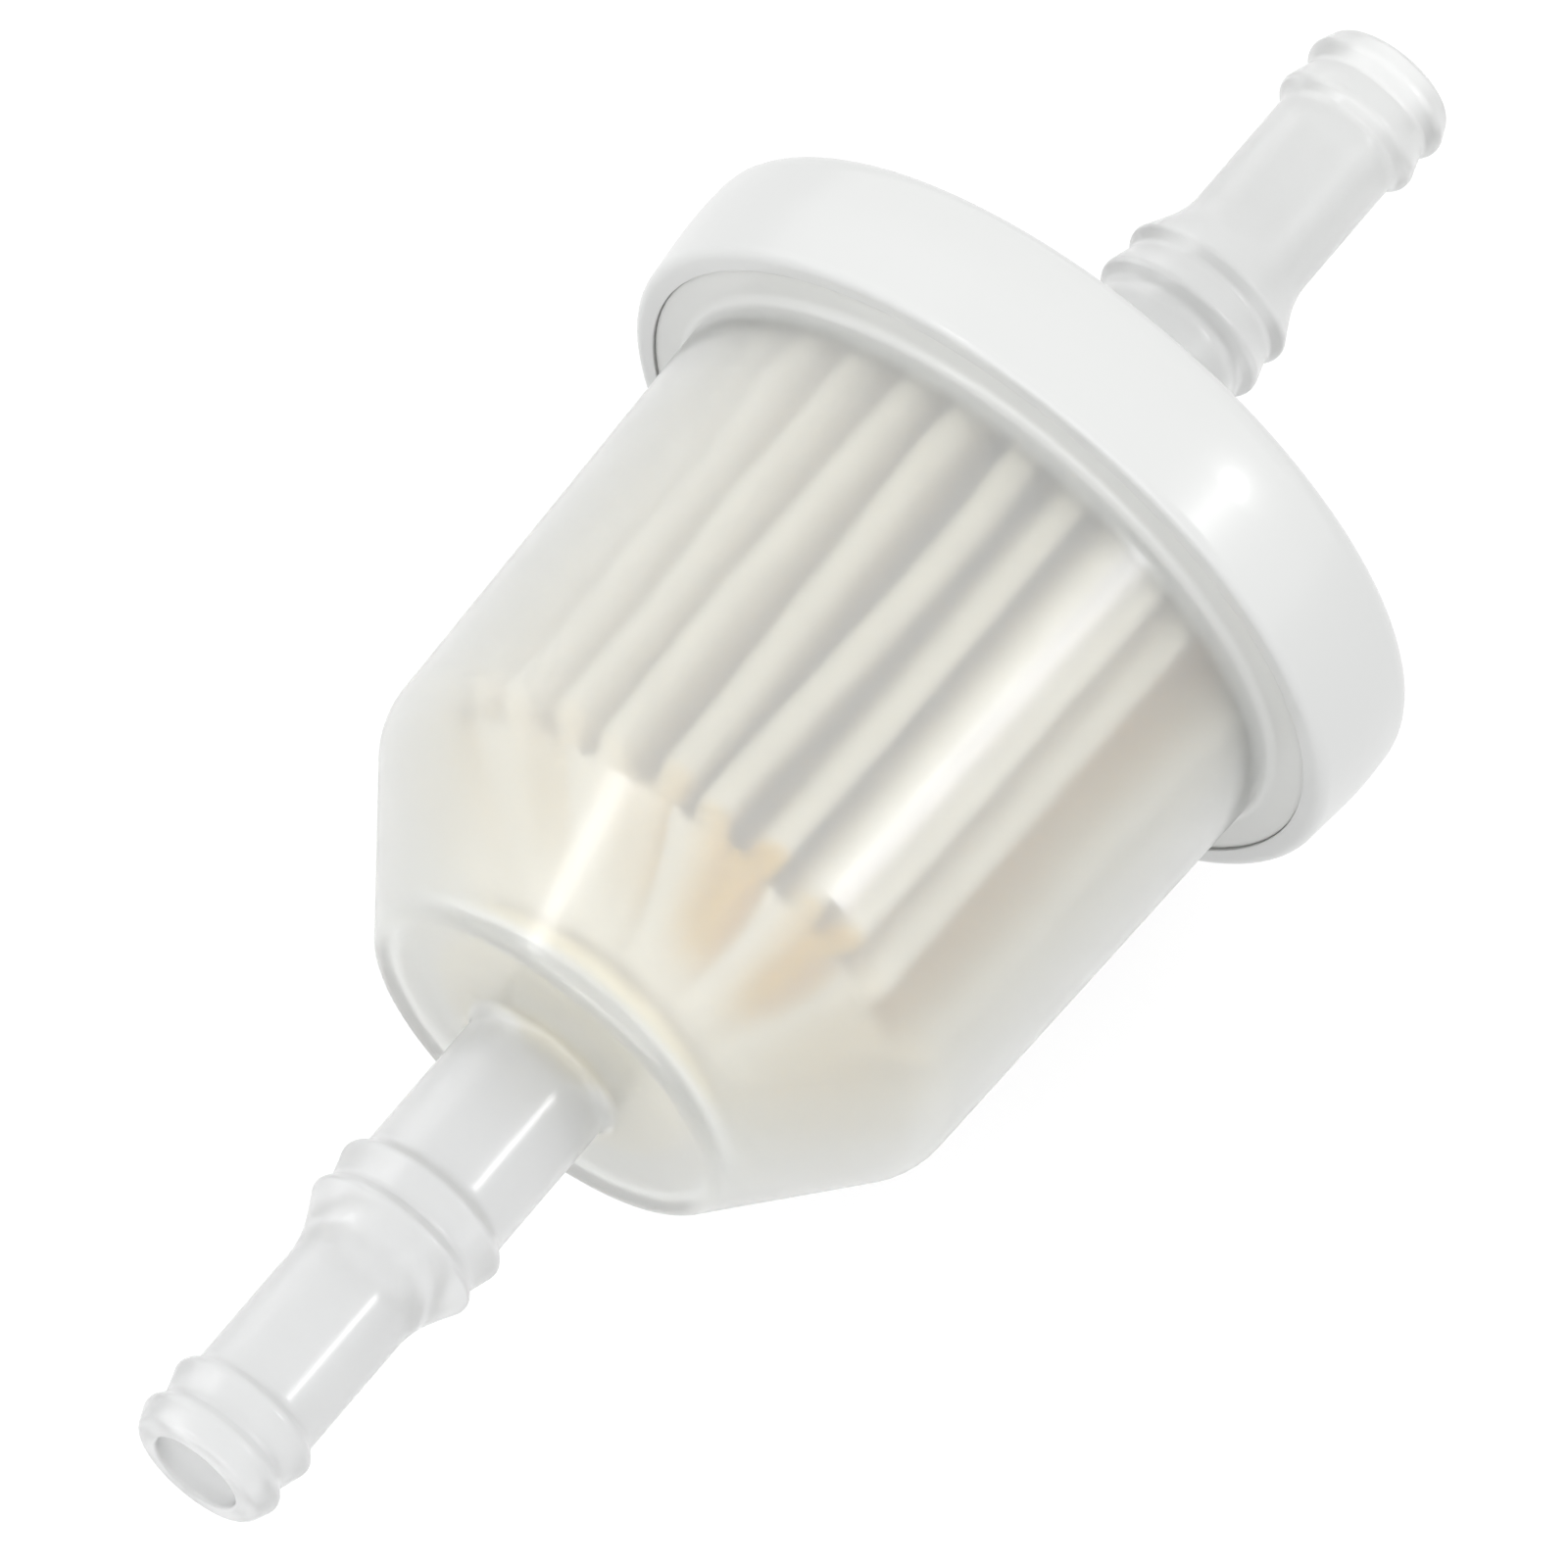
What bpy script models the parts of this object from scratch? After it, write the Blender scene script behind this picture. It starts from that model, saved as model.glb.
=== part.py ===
"""Inline fuel filter: a welded, see-through plastic housing with a hose spigot at each end and a pleated paper
element inside. The flow axis is +X, from the inlet spigot at -X to the outlet spigot at +X. The origin is on
that axis, halfway between the two spigot tips."""

import math

import bmesh
import bpy

MM = 0.001

# Driving dimensions, in millimetres
LENGTH = 88.0
WALL = 1.3
GAP = 0.3
BORE_R = 2.2
TURN_STEPS = 48

# Spigot, by distance from its tip: two barbs for 1/4 inch hose, a slim stem, two barbs for 5/16 inch hose
TIP_R = 3.05
SLIM_BARB_R = 3.72
SLIM_STEM_R = 3.16
THICK_BARB_R = 4.34
THICK_STEM_R = 3.76

# Bowl
FLOOR_X = -19.1
FLOOR_R = 9.7
CONE_TOP_X = -11.8
CONE_TOP_R = 14.86
CORNER_X = -10.2
CORNER_R = 15.6
MOUTH_R = 16.35
FLANGE_X = 12.3
FLANGE_TOP_X = 14.2
FLANGE_R = 18.1
LIP_R = 16.4
LIP_X = 17.2

# Cap
SKIRT_X = 12.7
SKIRT_R = 19.45
RIM_R = 19.7
RIM_X = 16.4
BACK_X = 19.2
BACK_CORNER = 1.1
CAP_FLOOR_X = 17.55
COLLAR_X = 14.0
COLLAR_R = 5.4
COLLAR_WALL = 1.1

# Weld: the bead lies on the bowl's flange, in the corner under the cap's shoulder
WELD_BEAD = 0.9
SHOULDER_X = FLANGE_TOP_X + 2 * GAP + WELD_BEAD

# Paper element
PLEATS = 30
PAPER = 0.35
CREST_HALF = 0.9
VALLEY_HALF = 0.14
OPEN_END_X = 15.3
CLOSED_END_X = -15.3
# (x, crest radius, valley radius) along the pack: it is straight in the cylinder and gathered in the cone
PACK_STATIONS = (
    (OPEN_END_X, 14.6, 6.7),
    (-9.8, 13.85, 6.7),
    (-11.1, 12.4, 6.5),
    (-13.0, 9.4, 5.8),
    (CLOSED_END_X, 6.7, 5.1),
)


def clear_scene():
    for obj in list(bpy.data.objects):
        bpy.data.objects.remove(obj)


def plastic(name, color, roughness, alpha=1.0):
    material = bpy.data.materials.new(name)
    material.use_nodes = True
    shader = material.node_tree.nodes["Principled BSDF"]
    shader.inputs["Base Color"].default_value = (*color, 1.0)
    shader.inputs["Roughness"].default_value = roughness
    shader.inputs["Metallic"].default_value = 0.0
    shader.inputs["Alpha"].default_value = alpha
    material.diffuse_color = (*color, alpha)
    return material


def finish(obj, collection, material):
    """Puts an object in the part's collection with its material and smooth shading."""
    collection.objects.link(obj)
    obj.data.materials.append(material)
    obj.data.shade_smooth()
    obj.data.set_sharp_from_angle(angle=math.radians(35))
    return obj


def turned(name, outline, collection, material, closed=True):
    """A solid of revolution about X from an outline of (x, r) points in millimetres. The outline goes round the
    section so that its outer side runs towards -X; an open one starts and ends on the axis."""
    mesh = bpy.data.meshes.new(name)
    shape = bmesh.new()
    points = [shape.verts.new((r * MM, 0.0, x * MM)) for x, r in outline]
    for start, end in zip(points, points[1:]):
        shape.edges.new((start, end))
    if closed:
        shape.edges.new((points[-1], points[0]))
    shape.to_mesh(mesh)
    shape.free()
    obj = finish(bpy.data.objects.new(name, mesh), collection, material)
    obj.rotation_euler.y = math.pi / 2
    screw = obj.modifiers.new("Turn", "SCREW")
    screw.steps = TURN_STEPS
    screw.render_steps = TURN_STEPS
    screw.use_merge_vertices = True
    screw.merge_threshold = 0.00001
    return obj


def spigot(tip_x, inward):
    """Outer outline of a spigot from the edge of its flat tip to the thick stem, as (x, r) points.
    inward is +1 for the inlet, whose body lies towards +X, and -1 for the outlet."""
    steps = (
        (0.0, TIP_R),
        (0.35, TIP_R + 0.35),
        (1.3, SLIM_BARB_R),
        (1.5, SLIM_BARB_R),
        (2.0, SLIM_STEM_R + 0.12),
        (3.45, SLIM_BARB_R),
        (3.65, SLIM_BARB_R),
        (4.25, SLIM_STEM_R),
        (11.6, SLIM_STEM_R),
        (12.3, SLIM_STEM_R + 0.2),
        (13.2, THICK_BARB_R - 0.45),
        (13.9, THICK_BARB_R),
        (14.15, THICK_BARB_R),
        (14.7, THICK_STEM_R + 0.18),
        (16.1, THICK_BARB_R),
        (16.35, THICK_BARB_R),
        (16.95, THICK_STEM_R),
    )
    return [(tip_x + inward * s, r) for s, r in steps]


def bowl_outline():
    """Section of the inlet shell: spigot, flat floor, cone, tapered cylinder, flange and locating lip."""
    slope = math.atan2(CONE_TOP_R - FLOOR_R, CONE_TOP_X - FLOOR_X)
    shift_x = WALL * math.sin(slope)
    shift_r = WALL * math.cos(slope)
    floor_x = FLOOR_X + WALL + 0.2
    inner_top = (CONE_TOP_X + shift_x, CONE_TOP_R - shift_r)
    inner_foot = (floor_x, inner_top[1] - (inner_top[0] - floor_x) * math.tan(slope))
    outside = spigot(-LENGTH / 2, 1) + [
        (FLOOR_X - 0.3, THICK_STEM_R),
        (FLOOR_X, THICK_STEM_R + 0.3),
        (FLOOR_X, FLOOR_R - 0.6),
        (FLOOR_X + 0.35, FLOOR_R + 0.15),
        (CONE_TOP_X, CONE_TOP_R),
        (CONE_TOP_X + 0.9, CONE_TOP_R + 0.55),
        (CORNER_X, CORNER_R),
        (FLANGE_X, MOUTH_R),
        (FLANGE_X, FLANGE_R),
        (FLANGE_TOP_X, FLANGE_R),
        (FLANGE_TOP_X, LIP_R),
        (LIP_X, LIP_R),
    ]
    inside = [
        (LIP_X, LIP_R - WALL),
        (CORNER_X, CORNER_R - WALL),
        (inner_top[0], inner_top[1]),
        inner_foot,
        (floor_x, BORE_R + 0.9),
        (floor_x - 0.6, BORE_R),
        (-LENGTH / 2, BORE_R),
    ]
    return (outside + inside)[::-1]


def cap_outline():
    """Section of the outlet shell: spigot, back, rounded rim, skirt over the bowl's flange, and inner collar."""
    corner = []
    for step in range(4):
        turn = math.radians(90 * step / 3)
        corner.append((
            BACK_X - BACK_CORNER * (1 - math.cos(turn)),
            RIM_R - 0.15 - BACK_CORNER * (1 - math.sin(turn)),
        ))
    outside = spigot(LENGTH / 2, -1) + [
        (BACK_X + 0.9, THICK_STEM_R),
        (BACK_X + 0.5, THICK_STEM_R + 0.4),
        (BACK_X, FLOOR_R),
    ] + corner + [
        (RIM_X, RIM_R),
        (SKIRT_X + 0.4, SKIRT_R + 0.05),
        (SKIRT_X, SKIRT_R - 0.35),
    ]
    inside = [
        (SKIRT_X, FLANGE_R + GAP),
        (SHOULDER_X, FLANGE_R + GAP),
        (SHOULDER_X, LIP_R + GAP),
        (CAP_FLOOR_X, LIP_R + GAP),
        (CAP_FLOOR_X, COLLAR_R),
        (COLLAR_X, COLLAR_R),
        (COLLAR_X, COLLAR_R - COLLAR_WALL),
        (CAP_FLOOR_X + 0.2, COLLAR_R - COLLAR_WALL),
        (CAP_FLOOR_X + 1.0, BORE_R),
        (LENGTH / 2, BORE_R),
    ]
    return outside + inside


def pleat_ring(crest_r, valley_r, inner):
    """One closed star outline, as (angle, radius) points, four for each pleat. The inner outline is the paper's
    thickness inside the outer one all along."""
    depth = PAPER if inner else 0.0
    crest_half = (CREST_HALF * crest_r / PACK_STATIONS[0][1] - depth) / crest_r
    valley_half = (VALLEY_HALF + depth) / valley_r
    ring = []
    for pleat in range(PLEATS):
        middle = math.tau * pleat / PLEATS
        valley = middle + math.pi / PLEATS
        ring += [
            (middle - crest_half, crest_r - depth),
            (middle + crest_half, crest_r - depth),
            (valley - valley_half, valley_r - depth),
            (valley + valley_half, valley_r - depth),
        ]
    return ring


def pleated_pack(name, collection, material):
    """The paper, lofted between its stations with a wall of one paper thickness. Both ends show the cut edge. In
    the cone the folds lean inwards, so the inner side also moves back along the axis to keep its thickness."""
    mesh = bpy.data.meshes.new(name)
    shape = bmesh.new()
    walls = []
    for inner in (False, True):
        rings = []
        for x, crest_r, valley_r in PACK_STATIONS:
            back = PAPER if inner and x < OPEN_END_X else 0.0
            rings.append([
                shape.verts.new(((x + back) * MM, r * math.sin(angle) * MM, r * math.cos(angle) * MM))
                for angle, r in pleat_ring(crest_r, valley_r, inner)
            ])
        walls.append(rings)
    count = 4 * PLEATS
    for rings in walls:
        for near, far in zip(rings, rings[1:]):
            for i in range(count):
                j = (i + 1) % count
                shape.faces.new((near[i], near[j], far[j], far[i]))
    for end in (0, -1):
        outer, inner = walls[0][end], walls[1][end]
        for i in range(count):
            j = (i + 1) % count
            shape.faces.new((outer[i], outer[j], inner[j], inner[i]))
    bmesh.ops.recalc_face_normals(shape, faces=shape.faces)
    bmesh.ops.triangulate(shape, faces=shape.faces)
    shape.to_mesh(mesh)
    shape.free()
    return finish(bpy.data.objects.new(name, mesh), collection, material)


def seam_glue(name, collection, material):
    """The bead that joins the two ends of the pleated strip, inside the pleat that points down."""
    low_r, high_r, thickness = 10.4, 13.1, 0.24
    start_x, end_x = CLOSED_END_X + 7.0, OPEN_END_X - 0.4
    mesh = bpy.data.meshes.new(name)
    shape = bmesh.new()
    bmesh.ops.create_cube(shape, size=1.0)
    bmesh.ops.scale(shape, verts=shape.verts, vec=(
        (end_x - start_x) * MM, thickness * MM, (high_r - low_r) * MM))
    bmesh.ops.translate(shape, verts=shape.verts, vec=(
        (start_x + end_x) / 2 * MM, 0.0, -(low_r + high_r) / 2 * MM))
    shape.to_mesh(mesh)
    shape.free()
    return finish(bpy.data.objects.new(name, mesh), collection, material)


def build():
    clear_scene()
    collection = bpy.data.collections.new("fuel_filter")
    bpy.context.scene.collection.children.link(collection)
    milky = plastic("milky_nylon", (0.87, 0.87, 0.84), 0.25, 0.45)
    rim_milky = plastic("milky_nylon_cap", (0.88, 0.88, 0.87), 0.25, 0.45)
    paper = plastic("filter_paper", (0.86, 0.78, 0.62), 0.95)
    hot_melt = plastic("hot_melt", (0.85, 0.76, 0.55), 0.4)

    turned("inlet_bowl", bowl_outline(), collection, milky)
    turned("outlet_cap", cap_outline(), collection, rim_milky)
    pleated_pack("pleated_paper", collection, paper)
    seam_glue("side_seam_glue", collection, hot_melt)

    bead_x = FLANGE_TOP_X + GAP
    turned("weld_bead", [
        (bead_x + WELD_BEAD, LIP_R + GAP),
        (bead_x + WELD_BEAD, FLANGE_R - 0.3),
        (bead_x + WELD_BEAD - 0.3, FLANGE_R),
        (bead_x, FLANGE_R),
        (bead_x, LIP_R + GAP),
    ], collection, milky)

    seal_x = OPEN_END_X + GAP
    seal_top_x = CAP_FLOOR_X - GAP
    turned("open_end_seal", [
        (seal_top_x, COLLAR_R + GAP),
        (seal_top_x, 14.6),
        (seal_top_x - 0.3, 14.8),
        (seal_x, 14.8),
        (seal_x, COLLAR_R + GAP),
    ], collection, hot_melt)

    end_r = PACK_STATIONS[-1][1]
    core_r = PACK_STATIONS[-1][2] - PAPER - GAP
    head_x = CLOSED_END_X - GAP
    turned("closed_end_seal", [
        (CLOSED_END_X + 2.6, 0.0),
        (CLOSED_END_X + 2.6, core_r - 0.6),
        (CLOSED_END_X + 2.0, core_r),
        (head_x, core_r),
        (head_x, end_r),
        (head_x - 0.5, end_r),
        (head_x - 1.1, end_r - 1.2),
        (head_x - 1.3, 0.0),
    ], collection, hot_melt, closed=False)


build()
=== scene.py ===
# %% [markdown]
# # An inline fuel filter
# This lesson finishes a small fuel filter whose working model is already made. Two milky plastic shells are
# welded together, with a hose spigot at each end, and a pleated paper element sits inside them. The working
# model gives the sizes and places. Here each piece gets its rounded edges, its folds and its material.
#
# The flow axis is X. The inlet spigot is at -X, the outlet spigot at +X, and the origin is halfway between.

# %% Load the working model
import math

import bpy
from mathutils import Matrix, Vector, noise


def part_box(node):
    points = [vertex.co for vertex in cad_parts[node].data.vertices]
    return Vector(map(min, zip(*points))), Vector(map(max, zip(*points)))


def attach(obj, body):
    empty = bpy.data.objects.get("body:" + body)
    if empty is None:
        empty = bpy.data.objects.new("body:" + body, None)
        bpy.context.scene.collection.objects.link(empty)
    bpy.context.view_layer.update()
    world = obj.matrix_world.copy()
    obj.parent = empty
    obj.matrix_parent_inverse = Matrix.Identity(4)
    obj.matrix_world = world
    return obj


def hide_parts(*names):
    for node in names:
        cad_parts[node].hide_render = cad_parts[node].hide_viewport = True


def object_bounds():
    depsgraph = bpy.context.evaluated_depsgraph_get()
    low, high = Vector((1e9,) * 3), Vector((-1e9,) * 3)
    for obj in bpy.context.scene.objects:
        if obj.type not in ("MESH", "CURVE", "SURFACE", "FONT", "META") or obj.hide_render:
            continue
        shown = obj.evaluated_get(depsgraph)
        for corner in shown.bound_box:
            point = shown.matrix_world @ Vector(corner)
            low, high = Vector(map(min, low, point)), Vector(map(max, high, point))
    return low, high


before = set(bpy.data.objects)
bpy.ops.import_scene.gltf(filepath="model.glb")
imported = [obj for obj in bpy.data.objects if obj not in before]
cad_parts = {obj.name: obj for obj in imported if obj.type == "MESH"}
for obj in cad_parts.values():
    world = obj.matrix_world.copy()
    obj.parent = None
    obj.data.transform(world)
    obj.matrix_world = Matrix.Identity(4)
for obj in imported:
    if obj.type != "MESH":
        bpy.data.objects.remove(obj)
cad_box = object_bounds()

MM = 0.001
print("working model:", [round(side / MM, 1) for side in cad_box[1] - cad_box[0]], "mm")

# %% [markdown]
# ## Sizes taken from the working model
# The box of each node gives where a shell ends, how wide the rim is and where the paper stops, so the
# finished pieces land where the working ones are. The box is in metres, and the lesson thinks in
# millimetres, because that is how such a part is drawn.

# %% Read the boxes
def box_mm(node):
    """The lowest and highest corner of a working node, in millimetres."""
    low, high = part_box(node)
    return low / MM, high / MM


bowl_low, bowl_high = box_mm("inlet_bowl")
cap_low, cap_high = box_mm("outlet_cap")
paper_low, paper_high = box_mm("pleated_paper")

INLET_TIP = bowl_low.x
OUTLET_TIP = cap_high.x
RIM_R = cap_high.z
SKIRT_X = cap_low.x
FLANGE_R = bowl_high.z
print(f"tips at {INLET_TIP:.1f} and {OUTLET_TIP:.1f} mm, rim radius {RIM_R:.2f} mm")

# %% [markdown]
# ## The camera
# The camera is far away with a long lens, so the filter is seen almost without perspective. Its place is
# worked out from two angles and a distance, because that is how one thinks of a view.

# %% Camera
AZIMUTH = math.radians(-52.7)
ELEVATION = math.radians(62.6)
DISTANCE = 0.83
LENS = 427.5

right = Vector((math.cos(AZIMUTH), math.sin(AZIMUTH), 0.0))
back = Vector((
    math.sin(AZIMUTH) * math.cos(ELEVATION),
    -math.cos(AZIMUTH) * math.cos(ELEVATION),
    math.sin(ELEVATION),
))
up = back.cross(right)
aim = Vector((2.2, 0.0, 0.0)) * MM - right * 2.24 * MM - up * 2.5 * MM


def facing(place, target):
    """The matrix of an object at place whose -Z axis looks at target."""
    away = (place - target).normalized()
    side = Vector((0.0, 0.0, 1.0)).cross(away).normalized()
    return Matrix.Translation(place) @ Matrix((side, away.cross(side), away)).transposed().to_4x4()


bpy.ops.object.camera_add()
camera = bpy.context.object
camera.name = "camera"
camera.data.lens = LENS
camera.data.clip_end = 10.0
camera.matrix_world = facing(aim + back * DISTANCE, aim)
bpy.context.scene.camera = camera
print("camera", [round(value, 3) for value in camera.matrix_world.translation])

# %% [markdown]
# ## The light
# The world is even white light, as a white tent gives. Two small soft boxes stand right and left of the
# camera. They give the long bright stripe on the cylinder and the short one on the cone. Two large ones
# fill in where the tent alone leaves the filter dull: from above on the left, and from the inlet side.

# %% Soft boxes
NEAR = 0.6
FAR = 1.0
FILL_SIDE = 1.0


def soft_box(name, direction, distance, width, height, power):
    """An area light seen from the filter along direction, given as (right, up, back) of the camera."""
    way = (right * direction[0] + up * direction[1] + back * direction[2]).normalized()
    bpy.ops.object.light_add(type="AREA")
    lamp = bpy.context.object
    lamp.name = name
    lamp.data.shape = "RECTANGLE"
    lamp.data.size = width
    lamp.data.size_y = height
    lamp.data.energy = power
    lamp.matrix_world = facing(way * distance, Vector((0.0, 0.0, 0.0)))
    print(name, "of", power, "W")


soft_box("right_box", (0.80, 0.05, 0.60), NEAR, 0.055, 0.07, 0.36)
soft_box("left_fill", (-0.70, 0.60, 0.35), FAR, FILL_SIDE, FILL_SIDE, 0.8)
soft_box("inlet_fill", (-0.50, -0.75, 0.40), FAR, FILL_SIDE, FILL_SIDE, 4.6)
soft_box("left_box", (-0.75, -0.03, 0.66), NEAR, 0.06, 0.09, 0.24)

# %% White tent
WHITE = (1.0, 1.0, 1.0, 1.0)
TENT_STRENGTH = 1.92

world = bpy.data.worlds.new("white_tent")
bpy.context.scene.world = world
world.use_nodes = True
tent = world.node_tree.nodes["Background"]
tent.inputs["Color"].default_value = WHITE
tent.inputs["Strength"].default_value = TENT_STRENGTH
bpy.context.scene.view_settings.view_transform = "Standard"
print("world:", world.name)

# %% [markdown]
# ## The floor
# A plain pale floor lies just under the rim. It glows a little, so that it stays white right up to the
# filter, and its own colour is dark, so that it doesn't throw all the light of the tent back at the
# plastic.

# %% Floor
FLOOR_GAP = 0.2
FLOOR_SIDE = 3.0
FLOOR_GREY = 0.12
FLOOR_GLOW = 0.84

bpy.ops.object.select_all(action="DESELECT")
bpy.ops.mesh.primitive_plane_add(size=FLOOR_SIDE, location=(0.0, 0.0, (cad_box[0].z / MM - FLOOR_GAP) * MM))
floor = bpy.context.object
floor.name = "floor"
paint = bpy.data.materials.new("pale_floor")
paint.use_nodes = True
paint_shader = paint.node_tree.nodes["Principled BSDF"]
paint_shader.inputs["Base Color"].default_value = (FLOOR_GREY, FLOOR_GREY, FLOOR_GREY, 1.0)
paint_shader.inputs["Roughness"].default_value = 0.9
paint_shader.inputs["Emission Color"].default_value = WHITE
paint_shader.inputs["Emission Strength"].default_value = FLOOR_GLOW
floor.data.materials.append(paint)
print("floor at", round(floor.location.z / MM, 2), "mm")

# %% [markdown]
# ## Helpers for materials
# Every material here is one Principled shader with a few nodes before it. These helpers add the nodes that
# come back in several materials, all on Object coordinates, so that a pattern stays on its piece.

# %% Start a material
def new_material(name):
    """A material with its node tree and its Principled shader."""
    material = bpy.data.materials.new(name)
    material.use_nodes = True
    tree = material.node_tree
    return material, tree, tree.nodes["Principled BSDF"]


def feed(tree, value, socket):
    """Puts a colour, a number or another node's output into a socket."""
    if isinstance(value, bpy.types.NodeSocket):
        tree.links.new(value, socket)
    else:
        socket.default_value = (*value, 1.0) if isinstance(value, tuple) else value


print("a material starts as one Principled shader")

# %% Noise and bump
def noise_node(tree, scale, detail=3.0, stretch=(1.0, 1.0, 1.0)):
    """Noise on Object coordinates. Scale is per metre."""
    coordinates = tree.nodes.new("ShaderNodeTexCoord")
    mapping = tree.nodes.new("ShaderNodeMapping")
    mapping.inputs["Scale"].default_value = stretch
    texture = tree.nodes.new("ShaderNodeTexNoise")
    texture.inputs["Scale"].default_value = scale
    texture.inputs["Detail"].default_value = detail
    tree.links.new(coordinates.outputs["Object"], mapping.inputs["Vector"])
    tree.links.new(mapping.outputs["Vector"], texture.inputs["Vector"])
    return texture.outputs["Fac"]


def ranged(tree, value, low, high):
    """A Map Range node that turns 0.3 to 0.7, where most noise lies, into low to high."""
    node = tree.nodes.new("ShaderNodeMapRange")
    node.inputs["From Min"].default_value = 0.3
    node.inputs["From Max"].default_value = 0.7
    node.inputs["To Min"].default_value = low
    node.inputs["To Max"].default_value = high
    tree.links.new(value, node.inputs["Value"])
    return node.outputs["Result"]


def bump(tree, shader, height, strength, distance):
    """A Bump node from a height, joined to the shader's Normal."""
    node = tree.nodes.new("ShaderNodeBump")
    node.inputs["Strength"].default_value = strength
    node.inputs["Distance"].default_value = distance
    tree.links.new(height, node.inputs["Height"])
    tree.links.new(node.outputs["Normal"], shader.inputs["Normal"])

# %% Zones and mixes
def step_along_x(tree, edge, width):
    """Goes smoothly from 0 to 1 where X passes edge, with all lengths in millimetres."""
    coordinates = tree.nodes.new("ShaderNodeTexCoord")
    split = tree.nodes.new("ShaderNodeSeparateXYZ")
    node = tree.nodes.new("ShaderNodeMapRange")
    node.interpolation_type = "SMOOTHSTEP"
    node.inputs["From Min"].default_value = (edge - width / 2) * MM
    node.inputs["From Max"].default_value = (edge + width / 2) * MM
    tree.links.new(coordinates.outputs["Object"], split.inputs["Vector"])
    tree.links.new(split.outputs["X"], node.inputs["Value"])
    return node.outputs["Result"]


def tinted(tree, factor, light, dark):
    """A colour between light and dark."""
    mix = tree.nodes.new("ShaderNodeMix")
    mix.data_type = "RGBA"
    feed(tree, light, mix.inputs[6])
    feed(tree, dark, mix.inputs[7])
    feed(tree, factor, mix.inputs["Factor"])
    return mix.outputs[2]


def blended(tree, factor, low, high):
    """A number between low and high."""
    mix = tree.nodes.new("ShaderNodeMix")
    feed(tree, low, mix.inputs[2])
    feed(tree, high, mix.inputs[3])
    feed(tree, factor, mix.inputs["Factor"])
    return mix.outputs[0]

# %% [markdown]
# ## Milky plastic
# The shells are milky: part of the light goes through, and part is scattered back by the plastic itself.
# One Principled shader does both, with a Transmission Weight between 0 and 1. A real wall scatters more
# where it is thicker, so the spigot, the wall and the rim are zones with their own colour and their own
# share of light through.

# %% Milky plastic
ZONE_BLEND = 1.5
MILKY_ROUGHNESS = 0.3
ROUGHNESS_SPREAD = 0.015


def milky_plastic(name, zones):
    """Milky plastic in zones along X. A zone is the X where it starts, a colour and how much light goes
    through, from 0 to 1."""
    material, tree, shader = new_material(name)
    color, passing = zones[0][1], zones[0][2]
    for start, next_color, next_passing in zones[1:]:
        place = step_along_x(tree, start, ZONE_BLEND)
        color = tinted(tree, place, color, next_color)
        passing = blended(tree, place, passing, next_passing)
    tree.links.new(color, shader.inputs["Base Color"])
    tree.links.new(passing, shader.inputs["Transmission Weight"])
    shader.inputs["IOR"].default_value = 1.5
    shader.inputs["Coat Weight"].default_value = 0.35
    shader.inputs["Coat Roughness"].default_value = 0.16
    cloud = noise_node(tree, 260.0)
    least, most = MILKY_ROUGHNESS - ROUGHNESS_SPREAD, MILKY_ROUGHNESS + ROUGHNESS_SPREAD
    tree.links.new(ranged(tree, cloud, least, most), shader.inputs["Roughness"])
    bump(tree, shader, noise_node(tree, 420.0, 2.0), 0.06, 0.0002)
    print(name, "with", len(zones), "zones")
    return material


bowl_plastic = milky_plastic("milky_bowl_plastic", (
    (-44.0, (0.71, 0.715, 0.715), 0.72),
    (-19.6, (0.88, 0.89, 0.87), 0.86),
    (12.0, (0.55, 0.555, 0.54), 0.3),
))
cap_plastic = milky_plastic("milky_cap_plastic", (
    (12.0, (0.445, 0.45, 0.445), 0.15),
    (20.0, (0.71, 0.715, 0.71), 0.70),
))

# %% [markdown]
# ## Filter paper
# The paper is cream, thin and full of fibres that run along the folds. It lets some light through. Deep in a
# fold its colour is painted browner as painted shade, so the colour follows an attribute that each vertex
# gets when the paper is folded.

# %% Filter paper
def folded_paper(name, crest_color, valley_shade_color):
    """Thin paper that lets some light through, with shade painted into its colour along the attribute
    painted_paper_shade.
    """
    material, tree, shader = new_material(name)
    # The attribute holds the painted shade from the folding, not the depth of the fold.
    depth = tree.nodes.new("ShaderNodeAttribute")
    depth.attribute_name = "painted_paper_shade"
    toned = tinted(tree, depth.outputs["Fac"], crest_color, valley_shade_color)
    tree.links.new(toned, shader.inputs["Base Color"])
    fibres = noise_node(tree, 2600.0, 4.0, (0.35, 1.0, 1.0))
    tree.links.new(ranged(tree, fibres, 0.75, 0.95), shader.inputs["Roughness"])
    shader.inputs["IOR"].default_value = 1.2
    shader.inputs["Transmission Weight"].default_value = 0.42
    bump(tree, shader, fibres, 0.4, 0.0001)
    return material


# The second colour is painted shade, the tone the paper takes where a fold is shaded.
paper_finish = folded_paper("cream_paper_painted_shade", (0.99, 0.93, 0.80), (0.86, 0.56, 0.06))
print("paper:", paper_finish.name)

# %% [markdown]
# ## Hot melt
# The seals are hot melt, a wax-like glue. It is amber with cloudy patches, and its skin is a little uneven
# where it cooled.

# %% Hot melt
def hot_melt(name, light, dark):
    """Cloudy glue between a light and a dark tone."""
    material, tree, shader = new_material(name)
    cloud = noise_node(tree, 300.0)
    tree.links.new(tinted(tree, ranged(tree, cloud, 0.0, 1.0), light, dark), shader.inputs["Base Color"])
    tree.links.new(ranged(tree, cloud, 0.35, 0.5), shader.inputs["Roughness"])
    bump(tree, shader, noise_node(tree, 900.0), 0.3, 0.0001)
    return material


glue_finish = hot_melt("amber_hot_melt", (0.88, 0.78, 0.52), (0.8, 0.68, 0.42))
print("glue:", glue_finish.name)

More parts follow.
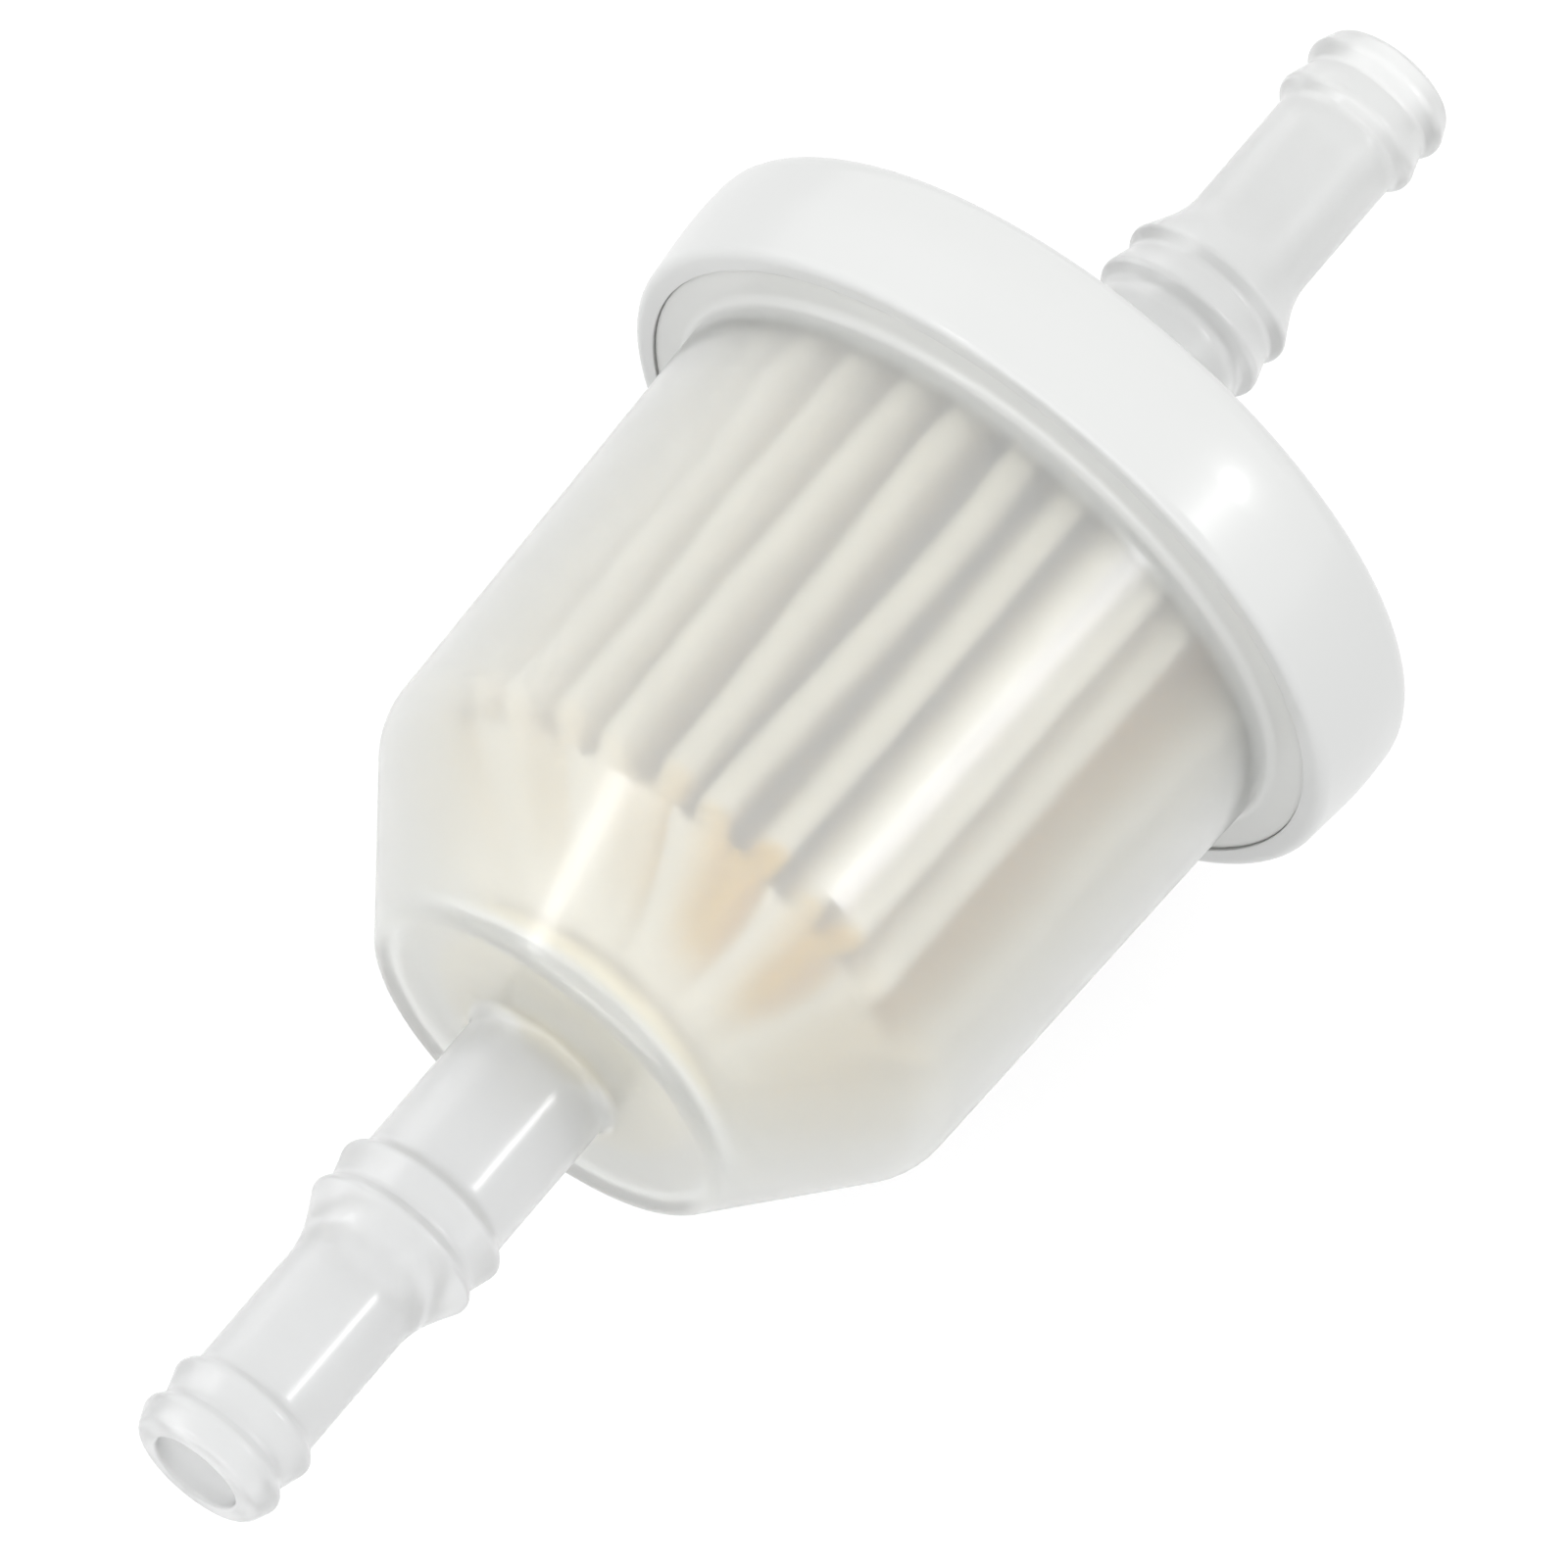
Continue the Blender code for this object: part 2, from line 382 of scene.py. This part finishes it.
# %% [markdown]
# ## Turning a shell
# Both shells are bodies of revolution. By hand one draws half the section as a chain of vertices, rounds
# its corners with a vertex bevel, and spins it round the axis. This gives clean rings, and each corner has
# its own rounding.

# %% Selecting and editing
def select_where(piece, test):
    """Selects only the vertices whose place in millimetres passes the test, in object mode."""
    for part in (*piece.data.edges, *piece.data.polygons):
        part.select = False
    for vertex in piece.data.vertices:
        vertex.select = test(vertex.co / MM)


def edit(piece):
    """Opens a piece in edit mode, where vertices are picked."""
    bpy.context.view_layer.objects.active = piece
    bpy.ops.object.mode_set(mode="EDIT")
    bpy.ops.mesh.select_mode(type="VERT")


def leave():
    """Goes back to object mode."""
    bpy.ops.object.mode_set(mode="OBJECT")


print("helpers to select and edit are ready")

# %% Drawing a section
HOLD_GAP = 0.12
LONG_SIDE = 0.6
SAME_PLACE = 0.0001
ROUND_SEGMENTS = 5


def held(outline):
    """Adds a point just past the rounding at both ends of every long side, so that it shades straight."""
    ring = []
    for (x0, r0, round0), (x1, r1, round1) in zip(outline, outline[1:] + outline[:1]):
        ring.append((x0, r0, round0))
        length = math.hypot(x1 - x0, r1 - r0)
        if length > round0 + round1 + LONG_SIDE:
            for along in (round0 + HOLD_GAP, length - round1 - HOLD_GAP):
                ring.append((x0 + (x1 - x0) * along / length, r0 + (r1 - r0) * along / length, 0))
    return ring


def at_any(place, points):
    """Whether a place in millimetres is one of the points of an outline."""
    return any(math.hypot(place.x - x, place.z - r) < SAME_PLACE for x, r, _ in points)


def draw_section(name, outline):
    """Draws a closed outline, a list of (x, r, rounding), vertex by vertex in the plane y = 0."""
    outline = held(outline)
    bpy.ops.object.select_all(action="DESELECT")
    bpy.ops.mesh.primitive_plane_add(size=MM)
    piece = bpy.context.object
    piece.name = name
    edit(piece)
    bpy.ops.mesh.merge(type="CENTER")
    bpy.ops.transform.translate(value=(outline[0][0] * MM, 0.0, outline[0][1] * MM))
    for here, there in zip(outline, outline[1:]):
        step = ((there[0] - here[0]) * MM, 0.0, (there[1] - here[1]) * MM)
        bpy.ops.mesh.extrude_vertices_move(TRANSFORM_OT_translate={"value": step})
    leave()
    select_where(piece, lambda place: at_any(place, (outline[0], outline[-1])))
    edit(piece)
    bpy.ops.mesh.edge_face_add()
    leave()
    for rounding in sorted({point[2] for point in outline if point[2] > 0}):
        corners = [point for point in outline if point[2] == rounding]
        select_where(piece, lambda place: at_any(place, corners))
        edit(piece)
        bpy.ops.mesh.bevel(offset=rounding * MM, segments=ROUND_SEGMENTS, affect="VERTICES")
        leave()
    print(name, "drawn with", len(piece.data.vertices), "points")
    return piece

# %% Spinning a section
TURN_STEPS = 128
MERGE_WITHIN = 0.000001
TURNED_EDGE = math.radians(40)


def turn(piece):
    """Spins a drawn section a full turn round X and closes the seam."""
    edit(piece)
    bpy.ops.mesh.select_all(action="SELECT")
    bpy.ops.mesh.spin(steps=TURN_STEPS, angle=math.tau, center=(0.0, 0.0, 0.0), axis=(1.0, 0.0, 0.0))
    bpy.ops.mesh.select_all(action="SELECT")
    bpy.ops.mesh.remove_doubles(threshold=MERGE_WITHIN)
    bpy.ops.mesh.delete_loose()
    bpy.ops.mesh.select_all(action="SELECT")
    bpy.ops.mesh.normals_make_consistent(inside=False)
    leave()
    bpy.ops.object.shade_smooth_by_angle(angle=TURNED_EDGE)
    print(piece.name, len(piece.data.vertices), "vertices")
    return piece


def settle(piece, material, node):
    """Gives a finished piece its material, hangs it under the root body and hides the working node it stands
    for.
    """
    piece.data.materials.clear()
    piece.data.materials.append(material)
    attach(piece, "root")
    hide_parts(node)
    print(piece.name, "stands for", node)

# %% [markdown]
# ## The spigot
# Each spigot is stepped for two hoses. A small hose grips the pair of barbs at the tip, and a large one goes
# past them to the second pair. Both spigots are the same, so one outline serves twice, and the second is
# mirrored.

# %% The stepped spigot
BORE_R = 2.2
SLIM_R = 3.16
THICK_R = 3.76
SPIGOT = (
    (0.0, 3.2, 0.38),
    (1.3, 3.76, 0.3),
    (2.0, 3.24, 0.2),
    (3.55, 3.74, 0.28),
    (4.15, SLIM_R, 0.25),
    (11.6, SLIM_R, 0.9),
    (13.05, 3.86, 0.5),
    (14.0, 4.37, 0.22),
    (14.65, 3.92, 0.2),
    (16.2, 4.39, 0.25),
    (16.85, THICK_R, 0.3),
)


def spigot(tip, inward):
    """The outline of a spigot from its tip. Inward is 1 along X at the inlet and -1 at the outlet."""
    return [(tip + inward * along, radius, rounding) for along, radius, rounding in SPIGOT]


print("the barbs end", SPIGOT[-1][0], "mm from the tip")

# %% [markdown]
# ## The inlet bowl
# The bowl is one moulding: spigot, end face, cone, a cylinder that widens a little so that it leaves the
# mould, and a flange that the cap is welded to. The outline runs up the outside and comes back down the
# inside of the wall.

# %% The inlet bowl
END_FACE_X = -19.1
END_FACE_R = 9.42
CORNER_X = -10.8
CORNER_R = 15.6
MOUTH_R = 16.35
FLANGE_X = 12.7
FLANGE_BACK_X = FLANGE_X + 1.5
FLANGE_EDGE_R = FLANGE_R + 0.09
LIP_X = 17.2
LIP_R = 16.4
INSIDE_FLOOR_X = -17.6

bowl = draw_section("milky_bowl", spigot(INLET_TIP, 1) + [
    (END_FACE_X, THICK_R, 0.6),
    (END_FACE_X, END_FACE_R, 0.5),
    (CORNER_X, CORNER_R, 0.9),
    (FLANGE_X, MOUTH_R, 0.45),
    (FLANGE_X + 0.1, FLANGE_EDGE_R, 0.04),
    (FLANGE_BACK_X, FLANGE_EDGE_R, 0.1),
    (FLANGE_BACK_X, LIP_R, 0.1),
    (LIP_X, LIP_R, 0.2),
    (LIP_X, 15.1, 0.2),
    (-10.15, 14.3, 0.9),
    (INSIDE_FLOOR_X, 8.85, 0.6),
    (INSIDE_FLOOR_X, 3.2, 0.4),
    (-18.4, BORE_R, 0.3),
    (INLET_TIP, BORE_R, 0.2),
])
settle(turn(bowl), bowl_plastic, "inlet_bowl")

# %% [markdown]
# ## The outlet cap
# The cap wraps the flange of the bowl with a tall rim, and a collar inside it stands in the ring of glue at
# the open end of the paper. Its back corner is rounded, which makes the bright spot on the rim.

# %% The outlet cap
BACK_X = 19.2
SHOULDER_X = 15.7
SKIRT_INSIDE_R = FLANGE_R + 0.1
ROOF_X = 17.55
COLLAR_X = 14.0
COLLAR_R = 5.4
COLLAR_INSIDE_R = 4.3

cap = draw_section("milky_cap", spigot(OUTLET_TIP, -1) + [
    (BACK_X + 0.45, THICK_R, 0.6),
    (BACK_X, 9.5, 0.5),
    (BACK_X, RIM_R - 0.12, 1.1),
    (16.4, RIM_R + 0.02, 1.0),
    (SKIRT_X, 19.36, 0.45),
    (SKIRT_X - 0.05, SKIRT_INSIDE_R, 0.06),
    (SHOULDER_X, SKIRT_INSIDE_R, 0.15),
    (SHOULDER_X, 16.5, 0.15),
    (ROOF_X, 16.5, 0.3),
    (ROOF_X, COLLAR_R, 0.3),
    (COLLAR_X, COLLAR_R, 0.15),
    (COLLAR_X, COLLAR_INSIDE_R, 0.15),
    (17.75, COLLAR_INSIDE_R, 0.3),
    (18.55, BORE_R, 0.3),
    (OUTLET_TIP, BORE_R, 0.2),
])
settle(turn(cap), cap_plastic, "outlet_cap")

# %% [markdown]
# ## The pleated paper
# The strip is folded like a fan and closed into a tube. A circle is extruded along the axis, and then each
# vertex takes its place on a fold. The rings are closer together in the cone, where the folds are bent
# inwards.

# %% Extrude the plain tube of paper
PLEATS = 30
AROUND = 16
OPEN_X = paper_high.x
CLOSED_X = paper_low.x
CREST_R = 14.55
BEND_X = -9.9
BEND_MARGIN = 1.0
RINGS_TO_BEND = 18
RINGS_IN_CONE = 26

bpy.ops.object.select_all(action="DESELECT")
bpy.ops.mesh.primitive_circle_add(
    vertices=PLEATS * AROUND, radius=CREST_R * MM, location=(OPEN_X * MM, 0.0, 0.0),
    rotation=(0.0, math.pi / 2, 0.0))
paper = bpy.context.object
paper.name = "pleated_paper_star"
bpy.ops.object.transform_apply(location=True, rotation=True, scale=True)
edit(paper)
bpy.ops.mesh.select_all(action="SELECT")
for reach, rings in (
    (OPEN_X - BEND_X - BEND_MARGIN, RINGS_TO_BEND),
    (BEND_X + BEND_MARGIN - CLOSED_X, RINGS_IN_CONE),
):
    for _ in range(rings):
        bpy.ops.mesh.extrude_region_move(TRANSFORM_OT_translate={"value": (-reach / rings * MM, 0.0, 0.0)})
leave()
print("tube of", len(paper.data.vertices), "vertices")

# %% [markdown]
# ## Folds
# Every vertex of the tube has an angle round the axis. Along the cylinder that angle says where on its fold
# the vertex lies. In the cone the folds are pressed flat in pairs. Each pair is a petal that starts high
# and runs down under the next one, and each petal gets painted shade up to its sharp edge. One valley
# stands open, because no two folds of a real element are equally wide. Its painted shade is darker, most of
# all near the rim, and on one side the painted shade on the petals is stronger.

# %% Where the folds lie
PITCH = 360 / PLEATS
PETAL_PITCH = 2 * PITCH
FIRST_PETAL = 21.6
OPEN_VALLEY = -66.0
OPEN_REACH = (5.0, 14.0)
SHADED_PETALS = -27.0
SHADED_PETAL_REACH = (18.0, 32.0)
TWIST = 12.0
# The distance of the gathered paper from the axis, by the share of the way from the bend to the closed end.
CONE_ENVELOPE = ((0.0, 13.9), (0.12, 13.7), (0.30, 12.8), (0.55, 10.9), (1.0, 6.9))
print(f"a fold every {PITCH:.0f} degrees, a petal every {PETAL_PITCH:.0f}")

# %% Soft steps and envelopes
def smooth(value, low, high):
    """Goes softly from 0 at low to 1 at high."""
    share = max(0.0, min(1.0, (value - low) / (high - low)))
    return share * share * (3 - 2 * share)


def between(points, at):
    """The value at a place along a list of (place, value)."""
    for (x0, y0), (x1, y1) in zip(points, points[1:]):
        if at <= x1:
            return y0 + (y1 - y0) * (at - x0) / (x1 - x0)
    return points[-1][1]


print("half way through a soft step:", smooth(0.5, 0.0, 1.0))

# %% The section of one fold
CREST_ROUND = 0.34
VALLEY_ROUND = 0.22
CREST_SHARE, CREST_DROP = 0.46, 0.10
VALLEY_SHARE, VALLEY_RISE = 0.26, 0.05


def across_fold(place):
    """Where a vertex lies on its fold. place runs from 0 at the crest to 1 at the valley. It gives the share
    of the half pitch, and the share of the depth from crest to valley."""
    if place < CREST_ROUND:
        bend = place / CREST_ROUND * math.pi / 2
        return CREST_SHARE * math.sin(bend), CREST_DROP * (1 - math.cos(bend))
    if place > 1 - VALLEY_ROUND:
        bend = (1 - place) / VALLEY_ROUND * math.pi / 2
        return 1 - VALLEY_SHARE * math.sin(bend), 1 - VALLEY_RISE * (1 - math.cos(bend))
    along = (place - CREST_ROUND) / (1 - VALLEY_ROUND - CREST_ROUND)
    side_share = 1 - VALLEY_SHARE - CREST_SHARE
    side_drop = 1 - VALLEY_RISE - CREST_DROP
    return CREST_SHARE + along * side_share, CREST_DROP + along * side_drop


def opened(angle):
    """Pushes the folds away from the open valley. Angles are in degrees from the top, toward +Y."""
    away = angle - OPEN_VALLEY
    return angle + 9 * math.tanh(away / 4) * math.exp(-abs(away) / 18)


print("half way down a fold:", [round(share, 2) for share in across_fold(0.5)])

# %% Painted shade on the paper
def fold_shade(angle, x, depth, petal, down):
    """The painted shade of the paper, from 0 on a crest to 1 in the most shaded fold."""
    # Valleys get painted shade; the open valley gets more, most of all near the rim.
    in_open_valley = 1 - smooth(abs(angle - OPEN_VALLEY), *OPEN_REACH)
    near_rim = smooth(x, 2.0, 9.0)
    shade = smooth(depth, 0.0, 0.45) * (0.3 + 0.45 * in_open_valley + 0.25 * in_open_valley * near_rim)
    # The petals on one side get stronger painted shade than the rest.
    shaded_side = 1 - 0.8 * smooth(abs(angle - SHADED_PETALS), *SHADED_PETAL_REACH)
    petal_shade = shaded_side * smooth(petal, 0.1, 0.65) * (1 - smooth(down, 0.5, 0.9))
    shade += (petal_shade - shade) * smooth(down, 0.0, 0.05)
    return min(1.0, shade)


print("tone at the bottom of a closed valley:", fold_shade(0.0, 0.0, 1.0, 0.0, 0.0))

# %% Where a vertex of the tube goes
VALLEY_R = 7.4
CREST_TAPER = 0.65
FOLD_WANDER = 1.8
CREST_WAVE = 0.35
PETAL_DROP = 2.4
BEND_SLANT = 0.75


def fold_place(angle, x):
    """The finished place of a vertex, and the painted shade of the paper there. The noise is slow along a
    fold and different for each fold."""
    pleat = round(angle / PITCH)
    within = angle / PITCH - pleat
    share, depth = across_fold(abs(within) * 2)
    around = (pleat + math.copysign(share, within) / 2) * PITCH
    around += FOLD_WANDER * noise.noise(Vector((x * 0.06, pleat * 1.7, 0.0)))

    straight = max(0.0, min(1.0, (OPEN_X - x) / (OPEN_X - BEND_X)))
    crest = CREST_R - CREST_TAPER * straight + CREST_WAVE * noise.noise(Vector((x * 0.15, pleat * 2.3, 4.0)))
    pleated = crest - depth * (crest - VALLEY_R)

    petal = ((FIRST_PETAL - angle) / PETAL_PITCH) % 1.0
    bend_x = BEND_X + BEND_SLANT * petal
    down = max(0.0, (bend_x - x) / (bend_x - CLOSED_X))
    petal_depth = PETAL_DROP * petal ** 1.3 * smooth(down, 0.0, 0.25) * (1 - 0.6 * down)
    gathered = between(CONE_ENVELOPE, down) - petal_depth - 0.5 * depth * (1 - down)
    flat = smooth(down, 0.0, 0.14)
    radius = pleated + (gathered - pleated) * flat
    around += (angle - around) * flat * 0.8
    around = opened(around) - TWIST * down

    turn_angle = math.radians(around)
    place = Vector((x, radius * math.sin(turn_angle), radius * math.cos(turn_angle))) * MM
    return place, fold_shade(angle, x, depth, petal, down)

# %% Fold the tube
PAPER = 0.3
PAPER_EDGE = math.radians(50)

shades = []
for vertex in paper.data.vertices:
    angle = math.degrees(math.atan2(vertex.co.y, vertex.co.z))
    vertex.co, shade = fold_place(angle, vertex.co.x / MM)
    shades.append(shade)
# The attribute stores the painted shade of each vertex.
paper.data.attributes.new("painted_paper_shade", "FLOAT", "POINT").data.foreach_set("value", shades)
edit(paper)
bpy.ops.mesh.select_all(action="SELECT")
bpy.ops.mesh.normals_make_consistent(inside=False)
leave()
thickness = paper.modifiers.new("Thickness", "SOLIDIFY")
thickness.thickness = PAPER * MM
thickness.offset = 0.0
bpy.ops.object.modifier_apply(modifier="Thickness")
bpy.ops.object.shade_smooth_by_angle(angle=PAPER_EDGE)
settle(paper, paper_finish, "pleated_paper")
print("paper", len(paper.data.vertices), "vertices")

# %% [markdown]
# ## The weld bead
# The two shells are joined by plastic that melted between them, was squeezed out and set round. It is
# turned from a small rounded section.

# %% Weld bead
BEAD_INSIDE_R = 16.7

bead_low, bead_high = box_mm("weld_bead")
bead = draw_section("weld_flash", [
    (bead_low.x, BEAD_INSIDE_R, 0.3),
    (bead_high.x, BEAD_INSIDE_R, 0.3),
    (bead_high.x, bead_high.z, 0.3),
    (bead_low.x, bead_high.z, 0.3),
])
settle(turn(bead), cap_plastic, "weld_bead")

# %% [markdown]
# ## The seals and the seam
# The seals are hot melt that was poured round the ends of the paper and took the shape of its mould, so
# each is turned from a section with soft corners. The seam of the paper is a straight line of the same
# glue. Its working shape is good enough, and it only gets its material.

# %% Seals and seam
SEAL_INSIDE_R = 5.7
PLUG_STEP = 1.3
PLUG_NOSE_R = 4.45

seal_low, seal_high = box_mm("open_end_seal")
open_seal = draw_section("poured_seal_ring", [
    (seal_low.x, SEAL_INSIDE_R, 0.5),
    (seal_high.x, SEAL_INSIDE_R, 0.2),
    (seal_high.x, seal_high.z, 0.2),
    (seal_low.x, seal_high.z, 0.5),
])
settle(turn(open_seal), glue_finish, "open_end_seal")

plug_low, plug_high = box_mm("closed_end_seal")
closed_seal = draw_section("poured_seal_plug", [
    (plug_high.x, 0.0, 0),
    (plug_low.x, 0.0, 0),
    (plug_low.x, plug_high.z, 0.4),
    (plug_low.x + PLUG_STEP, plug_high.z, 0.4),
    (plug_low.x + PLUG_STEP, PLUG_NOSE_R, 0.2),
    (plug_high.x, PLUG_NOSE_R, 0.6),
])
settle(turn(closed_seal), glue_finish, "closed_end_seal")

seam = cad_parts["side_seam_glue"]
seam.data.materials.clear()
seam.data.materials.append(glue_finish)
print(seam.name, "keeps its working shape")
